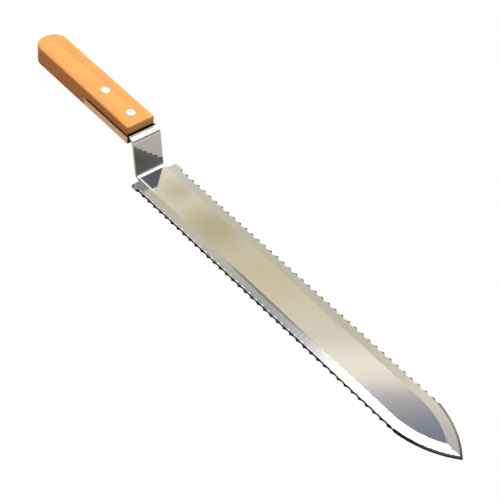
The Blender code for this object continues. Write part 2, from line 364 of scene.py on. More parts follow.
def upper_finish(kind, x, y, ring):
    """The finish of an upper face: ring counts the columns out from the middle line."""
    if kind in ("bend", "satin"):
        return kind
    # The neck's top at the mouth of the saw cut is painted near black: a painted shadow.
    if kind == "mouth":
        return "painted_black"
    if kind != "blade":
        return "polished"
    # The streak by the tang's foot gets the bright satin finish: a painted reflection.
    if ring == 1 and y < 0 and x < HEEL_X + STREAK_END:
        return "satin"
    finish = COLUMN_FINISH[ring]
    return "ground" if finish == "facet" and not is_serrated(x, y) else finish


def join_rows(work, near, far, kind):
    """Quads between two rows of vertices: upper face, lower face and both side walls."""
    count = min(len(near[0]), len(far[0]))
    near_skip, far_skip = (len(near[0]) - count) // 2, (len(far[0]) - count) // 2
    for level in (0, 1):
        for column in range(count - 1):
            a, b = near[level][near_skip + column], near[level][near_skip + column + 1]
            c, d = far[level][far_skip + column + 1], far[level][far_skip + column]
            face = work.faces.new((a, b, c, d))
            ring = round(max(abs(column - (count - 1) / 2 + 0.5) - 0.5, 0))
            upper = upper_finish(kind, a.co.x, a.co.y + b.co.y, ring)
            face.material_index = FINISHES.index("polished" if level else upper)
    for end in (0, -1):
        wall = (near[0][end], far[0][end], far[1][end], near[1][end])
        place = near[0][end].co
        serrated = kind == "blade" and is_serrated(place.x, place.y)
        # The side walls of the tang, the neck and the serrated edges are painted near black: a painted dark
        # reflection.
        painted_black = kind in ("tang", "mouth", "satin") or serrated
        work.faces.new(wall).material_index = FINISHES.index("painted_black" if painted_black else "polished")


def blank_mesh():
    work = bmesh.new()
    rows = []
    for top, low, kind in sheet_rows():
        rows.append(([work.verts.new(p) for p in top], [work.verts.new(p) for p in low], kind))
    work.faces.new(rows[0][0] + rows[0][1][::-1])
    for near, far in zip(rows, rows[1:]):
        join_rows(work, near, far, near[2])
    bmesh.ops.remove_doubles(work, verts=work.verts, dist=MERGE)
    bmesh.ops.dissolve_degenerate(work, edges=work.edges, dist=MERGE)
    bmesh.ops.recalc_face_normals(work, faces=work.faces)
    open_edges = sum(1 for edge in work.edges if len(edge.link_faces) != 2)
    volume = work.calc_volume() / MM**3
    print("blank:", len(work.faces), "faces,", open_edges, "open edges,", f"{volume:.0f} mm3")
    mesh = bpy.data.meshes.new("knife_blade")
    work.to_mesh(mesh)
    work.free()
    return mesh


knife_blade = bpy.data.objects.new("knife_blade", blank_mesh())
bpy.context.scene.collection.objects.link(knife_blade)

# %% [markdown]
# ## Grinding the serrations
# The scallops are made one after another: a round wheel touches the edge, backs off, and the blade moves on
# by one pitch. A Geometry Nodes tree repeats exactly that. It sets one wheel per hollow on a line beside the
# edge, from sizes that it takes as named inputs, and makes real meshes of them. The first tool is a drum
# whose rim widens upwards, so each hollow's wall leans back; the hollow is painted near black, a painted
# dark reflection. The second is a small cone that breaks the upper rim in a chamfer painted bright, a
# painted glint. It stays clear of the crests, which keep their facet, painted near black as a painted dark
# reflection. There is one Boolean for each tool on each edge.
# %% The wheels and their tree
PITCH = 6 * MM
HOLLOW_DEPTH = 1.25 * MM
WHEEL_RADIUS = ((PITCH / 2) ** 2 + HOLLOW_DEPTH**2) / (2 * HOLLOW_DEPTH)
HOLLOWS = 40
LAST_LIFT = 0.25 * MM
WHEEL_SIDES = 48
WHEEL_TOP = 1.9 * MM
WALL_LEAN = 0.33
CHAMFER_HALF = 1.6 * MM
CHAMFER_DEPTH = 2.15 * MM
CHAMFER_DROP = 0.25 * MM
CHAMFER_FOOT = 0.02 * MM


def wheel_object(name, profile):
    """A closed round tool centred on the origin, from (radius, height) points."""
    work = bmesh.new()
    rings = []
    for radius, height in profile:
        turns = [math.tau * side / WHEEL_SIDES for side in range(WHEEL_SIDES)]
        rings.append([work.verts.new((radius * math.cos(t), radius * math.sin(t), height)) for t in turns])
    for low, high in zip(rings, rings[1:]):
        for side in range(WHEEL_SIDES):
            after = (side + 1) % WHEEL_SIDES
            work.faces.new((low[side], low[after], high[after], high[side]))
    work.faces.new(rings[0][::-1])
    work.faces.new(rings[-1])
    mesh = bpy.data.meshes.new(name)
    work.to_mesh(mesh)
    work.free()
    return bpy.data.objects.new(name, mesh)


def drum_wheel():
    """A drum whose rim widens above the underside of the sheet."""
    rim = [(0, -SHEET), (0, 0), (WHEEL_TOP * WALL_LEAN, WHEEL_TOP)]
    return wheel_object("drum_wheel", [(WHEEL_RADIUS + wider, height) for wider, height in rim])


def cone_radius():
    """Radius of the chamfer's arc on the ground face: it meets the hollow before the crests."""
    hollow_there = math.sqrt(WHEEL_RADIUS**2 - CHAMFER_HALF**2) - (WHEEL_RADIUS - HOLLOW_DEPTH)
    rise = CHAMFER_DEPTH - hollow_there
    return (CHAMFER_HALF**2 + rise**2) / (2 * rise)


def cone_wheel():
    slope = (CHAMFER_DEPTH - HOLLOW_DEPTH) / CHAMFER_DROP
    ground_top = SHEET - GRIND_DROP
    foot = ground_top - CHAMFER_DROP - CHAMFER_FOOT
    profile = [(cone_radius() + slope * (height - ground_top), height) for height in (foot, WHEEL_TOP)]
    return wheel_object("cone_wheel", profile)


WHEEL_INPUTS = ["Hollows", "Pitch", "First crest", "Wheel line", "Last lift"]


def wheels_tree(material):
    """One wheel per hollow along an edge, all leaving the same material. The last one stands back."""
    tree = bpy.data.node_groups.new(f"wheels_leaving_{material.name}", "GeometryNodeTree")
    tree.interface.new_socket("Geometry", in_out="OUTPUT", socket_type="NodeSocketGeometry")
    tree.interface.new_socket("Wheel", in_out="INPUT", socket_type="NodeSocketObject")
    for name in WHEEL_INPUTS:
        kind = "NodeSocketInt" if name == "Hollows" else "NodeSocketFloat"
        tree.interface.new_socket(name, in_out="INPUT", socket_type=kind)
    graph = Graph(tree)
    given = graph.add("NodeGroupInput").socket.node
    ask = {socket.name: Flow(graph, socket) for socket in given.outputs if socket.name}
    index = graph.add("GeometryNodeInputIndex")
    is_last = graph.add("ShaderNodeMath", {"operation": "GREATER_THAN"}, {0: index, 1: ask["Hollows"] - 1.5})
    along = ask["First crest"] + (index + 0.5) * ask["Pitch"]
    side = graph.add("ShaderNodeMath", {"operation": "SIGN"}, {0: ask["Wheel line"]})
    across = ask["Wheel line"] + side * is_last * ask["Last lift"]
    place = graph.add("ShaderNodeCombineXYZ", {}, {0: along, 1: across})
    points = graph.add("GeometryNodePoints", {}, {"Count": ask["Hollows"], "Position": place})
    wheel = graph.add("GeometryNodeObjectInfo", {}, {"Object": ask["Wheel"]}, "Geometry")
    placed = graph.add("GeometryNodeInstanceOnPoints", {}, {"Points": points, "Instance": wheel})
    solid = graph.add("GeometryNodeRealizeInstances", {}, {"Geometry": placed})
    finished = graph.add("GeometryNodeSetMaterial", {}, {"Geometry": solid, "Material": material})
    graph.add("NodeGroupOutput", {}, {"Geometry": finished})
    return tree


print(f"wheel radius {WHEEL_RADIUS / MM:.2f} mm, {HOLLOWS} hollows on each edge")

# %% [markdown]
# ## Steel finishes
# One sheet of steel wears several finishes. The flats are polished along the blade, so faint lines run that
# way. The ground face has fine grooves that run aslant. The cut edges are rough, and they, the small facets
# and the hollows of the serrations are painted near black: a painted dark reflection. The neck's top at the
# mouth of the saw cut wears the same near-black finish as a painted shadow. The bends and the satin parts
# are
# painted brighter than the flats: a painted highlight. All finishes share one recipe: noise stretched along
# the direction of the tool, which moves the colour and the roughness a little and lifts the surface by
# microns through a Bump node.
# %% A recipe for steel
FINE_DETAIL = 3.0


def new_finish(name):
    material = bpy.data.materials.new(name)
    material.use_nodes = True
    graph = Graph(material.node_tree)
    shader = material.node_tree.nodes["Principled BSDF"]
    place = graph.add("ShaderNodeTexCoord", {}, {}, "Object")
    return material, graph, shader, place


def stretched_noise(graph, place, scale, detail=FINE_DETAIL):
    """Noise whose pattern is drawn out where the scale is low. It comes back as a value about 0.5."""
    mapped = graph.add("ShaderNodeMapping", {}, {"Vector": place, "Scale": scale})
    return graph.add("ShaderNodeTexNoise", {}, {"Vector": mapped, "Scale": 1.0, "Detail": detail})


def connect(graph, shader, links, uniform=None):
    for name, value in links.items():
        graph.tree.links.new(value.socket, shader.inputs[name])
    for name, value in (uniform or {}).items():
        shader.inputs[name].default_value = value


def axes(graph, place):
    """The X, Y and Z of a place, as three Flows."""
    return [graph.add("ShaderNodeSeparateXYZ", {}, {0: place}, axis) for axis in "XYZ"]


print("recipe parts ready")

# %% [markdown]
# The ground face needs more: its grooves are a sine wave across a slanting line, and two tints follow them
# on the near side, each faded in and out along the blade. Three round tints lie elsewhere, two on the
# polished flat and one on the facet near the point. All of these tints are painted at fixed places.
# They set a look for this one picture and are no property of steel, so leave them out for a plain knife.
# %% Grooves and tints
GROOVE_SLANT = 0.19
GROOVE_WAVER = 3
GROOVE_SHARE = 0.25
GROOVE_LEVEL = 0.35
SHOULDER_Y = GRIND_WIDTH - HALF_WIDTH
NEAR_SIDE = (-MM, 0)
BY_SHOULDER = (SHOULDER_Y - 2 * MM, SHOULDER_Y - 0.6 * MM)
SHOULDER_TINT = (0.20, 0.22, 0.18)
SHOULDER_TINT_SHARE = 0.85
SHOULDER_TINT_ENDS = (85, 105), (135, 180)
GROOVE_TINT = (0.27, 0.25, 0.32)
GROOVE_TINT_SHARE = 0.6
GROOVE_TINT_ENDS = (100, 130), (165, 195)
FLAT_TINT = (0.44, 0.41, 0.33)
FLAT_TINTS = [
    ((HEEL_X + 60 * MM, 3 * MM, SHEET), 34 * MM, FLAT_TINT, 0.9),
    ((HEEL_X + 21 * MM, 4 * MM, SHEET), 17 * MM, FLAT_TINT, 0.75),
]
POINT_TINTS = [((TIP_X - 22 * MM, 15 * MM, SHEET), 34 * MM, (0.22, 0.21, 0.20), 1.0)]


def from_heel(ends):
    """Slopes given in millimetres from the heel, as places along X."""
    return [[HEEL_X + along * MM for along in slope] for slope in ends]


def groove_tints(graph, x, y, furrow, colour):
    """The two tints on the near side of the ground face."""
    by_shoulder = graph.band(y, BY_SHOULDER, NEAR_SIDE) * graph.band(x, *from_heel(SHOULDER_TINT_ENDS))
    colour = graph.mix(by_shoulder * SHOULDER_TINT_SHARE, colour, SHOULDER_TINT)
    in_grooves = graph.band(x, *from_heel(GROOVE_TINT_ENDS)) * (1 - graph.step(y, *NEAR_SIDE))
    in_grooves = graph.step(furrow, -0.2, 0.8) * in_grooves
    return graph.mix(in_grooves * GROOVE_TINT_SHARE, colour, GROOVE_TINT)


def steel(name, dark, light, rough, lines, line_depth, spread=0.03, tints=(), grooves=0.0):
    """Steel whose tool lines have the given scale along X, Y and Z, in lines for each metre."""
    material, graph, shader, place = new_finish(name)
    marks = stretched_noise(graph, place, lines)
    if grooves:
        x, y, z = axes(graph, place)
        phase = (x * GROOVE_SLANT + abs(y)) * (math.tau / grooves) + marks * GROOVE_WAVER
        furrow = graph.math("SINE", phase)
        marks = marks * GROOVE_SHARE + furrow * GROOVE_SHARE + GROOVE_LEVEL
    cloud = stretched_noise(graph, place, (22, 45, 60), detail=1.0)
    tone = graph.step(marks * 0.5 + cloud * 0.5, 0.35, 0.65)
    colour = graph.mix(tone, dark, light)
    if grooves:
        colour = groove_tints(graph, x, y, furrow, colour)
    for centre, reach, tint, strength in tints:
        spot = graph.add("ShaderNodeVectorMath", {"operation": "DISTANCE"}, {0: place, 1: centre}, "Value")
        colour = graph.mix((1 - graph.step(spot, 0, reach)) * strength, colour, tint)
    roughness = rough + (marks - 0.5) * spread + (cloud - 0.5) * spread
    bump = graph.add("ShaderNodeBump", {}, {"Strength": 1.0, "Distance": line_depth, "Height": marks})
    connect(graph, shader, {"Base Color": colour, "Roughness": roughness, "Normal": bump}, {"Metallic": 1.0})
    return material


print("steel recipe ready")

# %% [markdown]
# One row of this table is one finish: name, darker and lighter colour, roughness, the scale of its lines,
# their depth in metres, and what else it needs. The order is that of the loft's finishes.
# %% The seven finishes
def grey(level):
    return (level,) * 3


STEELS = {
    "polished": steel("polished_steel", (0.58, 0.57, 0.54), (0.61, 0.60, 0.575), 0.065,
                      (25, 900, 900), 0.02e-6, 0.01, FLAT_TINTS),
    "ground": steel("ground_bevel_steel", (0.53, 0.53, 0.52), (0.62, 0.62, 0.61), 0.09,
                    (700, 30, 30), 2.8e-5, 0.04, (), 1.25 * MM),
    # Near black: a painted dark reflection on the small facets, not the colour of steel.
    "facet": steel("edge_facet_steel", grey(0.008), grey(0.03), 0.4,
                   (900, 90, 90), 2.0e-6, 0.03, POINT_TINTS),
    # Near black: a painted dark reflection on the cut edges and a painted shadow on the neck's top.
    "painted_black": steel("painted_black_edge_steel", grey(0.008), grey(0.02), 0.6, (500, 500, 900), 8.0e-6),
    # Brighter than the flats: a painted highlight on the bends.
    "bend": steel("highlight_bend_steel", grey(0.72), grey(0.84), 0.22, (500, 120, 500), 2.0e-7),
    # Near black: a painted dark reflection in the hollows of the serrations.
    "scallop": steel("scallop_steel", grey(0.01), grey(0.05), 0.45, (300, 300, 1200), 3e-6),
    # Brighter than the flats: a painted highlight on the neck, the streak by the tang's foot and the
    # chamfers.
    "satin": steel("satin_highlight_steel", grey(0.88), grey(0.95), 0.5, (500, 120, 500), 1e-6),
}
print("steel finishes:", [STEELS[finish].name for finish in FINISHES])

# %% [markdown]
# The wheels of each edge are one evaluated mesh, made plain before use. The Boolean takes them away from
# the blank with the exact solver, which also copes with neighbouring wheels that overlap.
# %% Cut the serrations
def evaluated_mesh(obj):
    graph = bpy.context.evaluated_depsgraph_get()
    return bpy.data.meshes.new_from_object(obj.evaluated_get(graph))


def set_inputs(modifier, values):
    """Fills a Geometry Nodes modifier's inputs by their identifiers."""
    for item in modifier.node_group.interface.items_tree:
        if item.in_out == "INPUT" and item.name in values:
            modifier[item.identifier] = values[item.name]


def wheels_for(line, wheel, tree):
    """One tool at each hollow of an edge; line is how far the tools' axes are from the middle line."""
    holder = bpy.data.objects.new("wheels", bpy.data.meshes.new("wheels"))
    bpy.context.scene.collection.objects.link(holder)
    modifier = holder.modifiers.new("Serration wheels", "NODES")
    modifier.node_group = tree
    set_inputs(modifier, {
        "Wheel": wheel,
        "Hollows": HOLLOWS,
        "Pitch": PITCH,
        "First crest": HEEL_X + FIRST_CREST[1 if line > 0 else -1],
        "Wheel line": line,
        "Last lift": LAST_LIFT,
    })
    mesh = evaluated_mesh(holder)
    bpy.data.objects.remove(holder)
    solid = bpy.data.objects.new("wheels", mesh)
    bpy.context.scene.collection.objects.link(solid)
    return solid


def cut(target, cutter):
    """An exact Boolean, made part of the target's mesh at once. The cutter is thrown away."""
    boolean = target.modifiers.new("Cut", "BOOLEAN")
    boolean.operation = "DIFFERENCE"
    boolean.solver = "EXACT"
    boolean.use_self = True
    boolean.material_mode = "TRANSFER"
    boolean.object = cutter
    mesh = evaluated_mesh(target)
    target.modifiers.clear()
    target.data = mesh
    bpy.data.objects.remove(cutter)


for finish in FINISHES:
    knife_blade.data.materials.append(STEELS[finish])
TOOLS = [
    # The drum's hollows take the near-black scallop finish: a painted dark reflection.
    (drum_wheel(), wheels_tree(STEELS["scallop"]), WHEEL_RADIUS - HOLLOW_DEPTH),
    # The cone's chamfers take the bright satin finish: a painted glint.
    (cone_wheel(), wheels_tree(STEELS["satin"]), cone_radius() - CHAMFER_DEPTH),
]
for wheel, tree, outside in TOOLS:
    for side in (-1, 1):
        cut(knife_blade, wheels_for(side * (HALF_WIDTH + outside), wheel, tree))
    bpy.data.objects.remove(wheel)
print("blade after grinding:", len(knife_blade.data.polygons), "faces")

# %% [markdown]
# ## Crisp grind lines on a smooth sheet
# The bends must look round, but the shoulder where polished meets ground steel must stay a line, though it
# turns by only two degrees. An angle limit can't tell them apart. The finish can: an edge between two
# finishes is marked sharp, unless both are polished, bend or satin, and so is an edge that turns by more
# than 25 degrees.
# %% Mark the sharp edges
SHARP_TURN = math.radians(25)


def mark_sharp(mesh):
    work = bmesh.new()
    work.from_mesh(mesh)
    for face in work.faces:
        face.smooth = True
    soft = {FINISHES.index(name) for name in ("polished", "bend", "satin")}
    for edge in work.edges:
        kinds = {face.material_index for face in edge.link_faces}
        border = len(kinds) > 1 and not kinds <= soft
        edge.smooth = not border and edge.calc_face_angle(0) < SHARP_TURN
    open_edges = sum(1 for edge in work.edges if len(edge.link_faces) != 2)
    work.to_mesh(mesh)
    work.free()
    return open_edges


open_edges = mark_sharp(knife_blade.data)
knife_blade.data.name = "knife_blade"
print("open edges on the blade:", open_edges)

# %% [markdown]
# ## The wooden handle
# The handle is sawn to shape, rounded by 1.2 mm at its edges and then varnished. The model follows
# that order: a flat outline with a half-ellipse butt is given its height, a Bevel modifier rounds all its
# edges, and Booleans take out the saw cut for the tang and the two rivet seats at each side.
# %% Shape the wood
BUTT_DEPTH = 9.5 * MM
BUTT_STEPS = 28
ROUNDING = 1.2 * MM
ROUNDING_STEPS = 6
ROUNDED_ANGLE = math.radians(50)
HANDLE_SHARP_ANGLE = math.radians(35)
SLOT_CLEARANCE = 0.12 * MM
TANG_END_GAP = 1 * MM
handle_half = handle_high.y
handle_height = handle_high.z - handle_low.z


def handle_outline():
    butt_x = handle_low.x + BUTT_DEPTH
    points = [(HANDLE_FRONT_X, -handle_half), (HANDLE_FRONT_X, handle_half)]
    for step in range(BUTT_STEPS + 1):
        angle = math.pi / 2 + math.pi * step / BUTT_STEPS
        points.append((butt_x + BUTT_DEPTH * math.cos(angle), handle_half * math.sin(angle)))
    return points


def prism(name, outline, low, high):
    """A closed solid from an outline in the XY plane and two heights."""
    work = bmesh.new()
    base = work.faces.new([work.verts.new((x, y, low)) for x, y in outline])
    made = bmesh.ops.extrude_face_region(work, geom=[base])["geom"]
    upper = [v for v in made if isinstance(v, bmesh.types.BMVert)]
    bmesh.ops.translate(work, vec=(0, 0, high - low), verts=upper)
    bmesh.ops.recalc_face_normals(work, faces=work.faces)
    mesh = bpy.data.meshes.new(name)
    work.to_mesh(mesh)
    work.free()
    solid = bpy.data.objects.new(name, mesh)
    bpy.context.scene.collection.objects.link(solid)
    return solid


def circle(centre_x, radius, steps):
    turns = [math.tau * step / steps for step in range(steps)]
    return [(centre_x + radius * math.cos(t), radius * math.sin(t)) for t in turns]


wooden_handle = prism("wooden_handle", handle_outline(), handle_low.z, handle_high.z)
rounding = wooden_handle.modifiers.new("Routed edges", "BEVEL")
rounding.width = ROUNDING
rounding.segments = ROUNDING_STEPS
rounding.limit_method = "ANGLE"
rounding.angle_limit = ROUNDED_ANGLE
wooden_handle.data = evaluated_mesh(wooden_handle)
wooden_handle.modifiers.clear()
slot_start = blade_low.x - TANG_END_GAP
beyond = 2 * handle_half
slot = [(slot_start, -beyond), (beyond, -beyond), (beyond, beyond), (slot_start, beyond)]
slot_half = SHEET / 2 + SLOT_CLEARANCE
cut(wooden_handle, prism("saw_cut", slot, TANG_MIDDLE_Z - slot_half, TANG_MIDDLE_Z + slot_half))
print("handle, mm:", [round(1000 * d, 1) for d in wooden_handle.dimensions])

# %% [markdown]
# ## Rivet seats and rivets
# A cutler's rivet comes in two halves. The head of the upper half has a pin, which is driven into the tube
# on the lower half. Each head sits in a shallow counterbore, so the wood needs a hole and two seats for each
# rivet, and the tang needs a hole. A lathe turns the rivets: a profile is spun about an upright axis.
# %% Cut the seats and turn the rivets
BARREL_RADIUS = 2.4 * MM
PIN_RADIUS = 1.3 * MM
HEAD_THICKNESS = 1.0 * MM
HEAD_DOME = 0.4 * MM
HEAD_EDGE = 0.22 * MM
FIT = 0.12 * MM
LATHE_STEPS = 64
DOME_STEPS = 8
OUTSIDE = 3 * MM
DIMPLE_RADIUS = 0.8 * MM
DIMPLE_DEPTH = 0.16 * MM
EDGE_ROLL = (0.3, 0.35)
RIVET_SHARP_ANGLE = math.radians(40)
RIVET_NAMES = ("front", "rear")


def rivet_places():
    """The middle of each rivet, front one first."""
    boxes = [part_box(f"rivet_{name}_male") for name in RIVET_NAMES]
    return {name: (low.x + high.x) / 2 for name, (low, high) in zip(RIVET_NAMES, boxes)}


def head_radius():
    low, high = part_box("rivet_front_male")
    return (high.x - low.x) / 2


def head_profile(dimple):
    """(radius, height above the seat) from the middle of the crown to the back of the head."""
    radius = head_radius()
    points = []
    for step in range(DOME_STEPS + 1):
        reach = (radius - HEAD_EDGE) * step / DOME_STEPS
        height = HEAD_THICKNESS + HEAD_DOME * (1 - (reach / radius) ** 2)
        dent = dimple * max(1 - (reach / DIMPLE_RADIUS) ** 2, 0)
        points.append((reach, height - dent))
    edge_height = points[-1][1]
    points.append((radius - HEAD_EDGE * EDGE_ROLL[0], edge_height - HEAD_EDGE * EDGE_ROLL[1]))
    points.append((radius, edge_height - HEAD_EDGE))
    return points + [(radius, 0)]


def turned(name, profile, centre_x, seat_z, up):
    work = bmesh.new()
    verts = [work.verts.new((r, 0, h)) for r, h in profile]
    edges = [work.edges.new(pair) for pair in zip(verts, verts[1:])]
    upright = {"cent": (0, 0, 0), "axis": (0, 0, 1)}
    bmesh.ops.spin(work, geom=verts + edges, angle=math.tau, steps=LATHE_STEPS, **upright)
    bmesh.ops.remove_doubles(work, verts=work.verts, dist=MERGE)
    bmesh.ops.dissolve_degenerate(work, edges=work.edges, dist=MERGE)
    turn = Matrix.Identity(4) if up > 0 else Matrix.Rotation(math.pi, 4, "X")
    bmesh.ops.transform(work, matrix=Matrix.Translation((centre_x, 0, seat_z)) @ turn, verts=work.verts)
    bmesh.ops.recalc_face_normals(work, faces=work.faces)
    mesh = bpy.data.meshes.new(name)
    work.to_mesh(mesh)
    work.free()
    mesh.shade_smooth()
    mesh.set_sharp_from_angle(angle=RIVET_SHARP_ANGLE)
    piece = bpy.data.objects.new(name, mesh)
    bpy.context.scene.collection.objects.link(piece)
    return piece


def bore(target, centre_x, radius, low, high):
    cut(target, prism("drill", circle(centre_x, radius, LATHE_STEPS), low, high))


rivets = {}
seat_up = handle_high.z - HEAD_THICKNESS
seat_down = handle_low.z + HEAD_THICKNESS
for name, x in rivet_places().items():
    bore(wooden_handle, x, BARREL_RADIUS + FIT, handle_low.z - OUTSIDE, handle_high.z + OUTSIDE)
    bore(wooden_handle, x, head_radius() + FIT, seat_up - FIT, handle_high.z + OUTSIDE)
    bore(wooden_handle, x, head_radius() + FIT, handle_low.z - OUTSIDE, seat_down + FIT)
    bore(knife_blade, x, BARREL_RADIUS + FIT, handle_low.z - OUTSIDE, handle_high.z + OUTSIDE)
    reach = seat_up - seat_down - 3 * FIT
    dimple = DIMPLE_DEPTH if name == "front" else DIMPLE_DEPTH / 3
    pin = [(PIN_RADIUS, 0), (PIN_RADIUS, -reach), (0, -reach)]
    bore_radius = PIN_RADIUS + FIT
    barrel = [(BARREL_RADIUS, 0), (BARREL_RADIUS, -reach), (bore_radius, -reach), (bore_radius, 0), (0, 0)]
    rivets[f"{name}_male"] = turned(f"rivet_{name}_pin", head_profile(dimple) + pin, x, seat_up, 1)
    rivets[f"{name}_female"] = turned(f"rivet_{name}_barrel", head_profile(0) + barrel, x, seat_down, -1)
mark_sharp(knife_blade.data)
wooden_handle.data.shade_smooth()
wooden_handle.data.set_sharp_from_angle(angle=HANDLE_SHARP_ANGLE)
flat_faces = wooden_handle.modifiers.new("Flat faces stay flat", "WEIGHTED_NORMAL")
flat_faces.keep_sharp = True
print("rivets at x, mm:", [round(x / MM, 1) for x in rivet_places().values()])

# %% [markdown]
# ## Varnished wood
# The handle is a light, even wood under orange varnish. Its fibres run along the handle, so every pattern is
# stretched along X: broad bands for the growth rings, fine streaks for the fibres, and short dark pores. A
# thin clear coat gives the gloss. The rest is painted for the look of this one picture: the sides and the
# butt are painted far darker than the top as painted shade, a paler patch below the saw cut on both sides is
# painted light, the front end is darker through its end grain's own tone and through painted shade, and a
# painted shadow makes it almost black at the mouth of the cut.
# %% Wood material
END_GRAIN_DEPTH = 0.7 * MM
RING_COLOURS = ((0.715, 0.32, 0.08), (0.79, 0.375, 0.10))
FIBRE_COLOUR = (0.56, 0.19, 0.04)
CLOUD_COLOUR = (0.80, 0.40, 0.13)
# Painted shade: the sides and the butt are painted far darker than the top.
SIDE_SHADE_COLOUR = (0.44, 0.115, 0.006)
# Painted light: a paler patch on both sides below the saw cut.
LOWER_SIDE_LIGHT_COLOUR = (0.85, 0.54, 0.30)
PORE_COLOUR = (0.33, 0.12, 0.03)
# The end grain's own darker tone, with painted shade on the front end.
END_GRAIN_COLOUR = (0.29, 0.15, 0.03)
# Painted shadow: near black on the front end just above the saw cut.
MOUTH_SHADOW_COLOUR = (0.012, 0.008, 0.005)


def wood():
    material, graph, shader, place = new_finish("varnished_orange_wood")
    rings = stretched_noise(graph, place, (9, 160, 120), detail=2.0)
    fibres = stretched_noise(graph, place, (40, 2200, 2200))
    pores = stretched_noise(graph, place, (260, 3600, 3600), detail=1.0)
    cloud = stretched_noise(graph, place, (45, 70, 70), detail=1.0)
    base = graph.mix(graph.step(rings, 0.35, 0.65), *RING_COLOURS)
    base = graph.mix(graph.step(fibres, 0.5, 0.75) * 0.35, base, FIBRE_COLOUR)
    base = graph.mix(graph.step(cloud, 0.4, 0.7) * 0.2, base, CLOUD_COLOUR)
    x, y, z = axes(graph, place)
    side = graph.step(abs(y), handle_half - 1.4 * MM, handle_half - 0.3 * MM)
    butt = 1 - graph.step(x, handle_low.x + 1 * MM, handle_low.x + BUTT_DEPTH)
    below_top = 1 - graph.step(z, handle_high.z - 1.3 * MM, handle_high.z - 0.5 * MM)
    # Painted shade on the sides and the butt, below the top.
    side_shade = graph.math("MAXIMUM", side, butt) * below_top
    base = graph.mix(side_shade * 0.95, base, SIDE_SHADE_COLOUR)
    # Painted light: a paler patch below the saw cut on both sides, towards the front.
    below_slot = 1 - graph.step(z, TANG_MIDDLE_Z - 2 * MM, TANG_MIDDLE_Z)
    lower_side_light = side * below_slot * graph.step(x, slot_start - 4 * MM, slot_start)
    base = graph.mix(lower_side_light * 0.85, base, LOWER_SIDE_LIGHT_COLOUR)
    base = graph.mix(graph.step(pores, 0.62, 0.72) * 0.45, base, PORE_COLOUR)
    # The front end is darker: the end grain's own tone and painted shade.
    end_grain = graph.step(x, HANDLE_FRONT_X - END_GRAIN_DEPTH, HANDLE_FRONT_X - END_GRAIN_DEPTH / 3)
    base = graph.mix(end_grain * 0.8, base, END_GRAIN_COLOUR)
    # Painted shadow: the front end just above the saw cut is near black.
    slot_top = TANG_MIDDLE_Z + slot_half
    mouth = end_grain * (1 - graph.step(z, slot_top, slot_top + 1.7 * MM))
    base = graph.mix(mouth * 0.95, base, MOUTH_SHADOW_COLOUR)
    roughness = 0.42 + (fibres - 0.5) * 0.2 + pores * 0.08
    height = fibres * 0.6 + pores * 0.4
    bump = graph.add("ShaderNodeBump", {}, {"Strength": 0.5, "Distance": 0.00003, "Height": height})
    connect(graph, shader, {"Base Color": base, "Roughness": roughness, "Normal": bump},
            {"Coat Weight": 0.05, "Coat Roughness": 0.15, "Specular IOR Level": 0.3})
    return material


wooden_handle.data.materials.clear()
wooden_handle.data.materials.append(wood())
print("wood done")

# %% [markdown]
# ## Rivet metal
# The heads are turned and then dressed flush, which leaves fine rings round their centre. The distance from
# each rivet's own axis drives a wave, so each rivet gets a material of its own that knows where its axis is.
# %% Rivet material
def rivet_metal(name, centre_x, centre_darkening):
    material, graph, shader, place = new_finish(f"turned_rivet_metal_{name}")
    local = graph.add("ShaderNodeMapping", {}, {"Vector": place, "Location": (-centre_x, 0, 0)})
    flat = graph.add("ShaderNodeVectorMath", {"operation": "MULTIPLY"}, {0: local, 1: (1, 1, 0)})
    distance = graph.add("ShaderNodeVectorMath", {"operation": "LENGTH"}, {0: flat}, "Value")
    wobble = stretched_noise(graph, place, (600, 600, 600), detail=2.0)
    rings = graph.math("SINE", distance * 22000 + wobble * 5) * 0.5 + 0.5
    rim = graph.step(distance, head_radius() * 0.8, head_radius())
    worn = graph.mix(graph.step(wobble, 0.3, 0.7), (0.86, 0.86, 0.87), (0.94, 0.94, 0.94))
    colour = graph.mix(rim * 0.5, worn, (0.42, 0.41, 0.40))
    # The middle of each head is made darker, by the given amount for each rivet.
    centre = (1 - graph.step(distance, 0.2 * MM, DIMPLE_RADIUS)) * centre_darkening
    colour = graph.mix(centre, colour, (0.30, 0.30, 0.31))
    roughness = 0.38 + rings * 0.06 + wobble * 0.1
    bump = graph.add("ShaderNodeBump", {}, {"Strength": 0.4, "Distance": 0.000004, "Height": rings + wobble})
    connect(graph, shader, {"Base Color": colour, "Roughness": roughness, "Normal": bump}, {"Metallic": 1.0})
    return material


for name, x in rivet_places().items():
    metal = rivet_metal(name, x, 0.75 if name == "front" else 0.2)
    for half in ("male", "female"):
        rivets[f"{name}_{half}"].data.materials.append(metal)
print("rivet metal done")

# %% [markdown]
# ## Hand each piece its place in the assembly
# Every piece stands for one CAD node and hides its part. It rides on the knife's only body.
# %% Ride and replace
def hand_over(piece, node):
    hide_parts(node)
    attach(piece, BODY)


hand_over(knife_blade, "blade")
hand_over(wooden_handle, "handle")
for key, piece in rivets.items():
    hand_over(piece, f"rivet_{key}")

# %% [markdown]
# ## The studio
# Polished steel shows its surroundings, so most of its colour is made here. The room is a tent of warm white
# cloth. Inside it hang a few cards: bright ones that draw highlights on the ground edges and on the bends,
# and grey ones that let the flats read as steel. A direction is described by where its ray would cross a
# ceiling one metre up, which makes each card a plain rectangle. The cards were tuned by trial for one
# camera, so another angle shows the steel in other tones.
# %% Cards in the tent
def card(graph, across, deep, left, right, near, far, soft):
    """A soft rectangle on the ceiling, 1 inside and 0 outside."""
    sides = graph.band(across, (left - soft, left + soft), (right - soft, right + soft))
    ends = graph.band(deep, (near - soft, near + soft), (far - soft, far + soft))
    return sides * ends


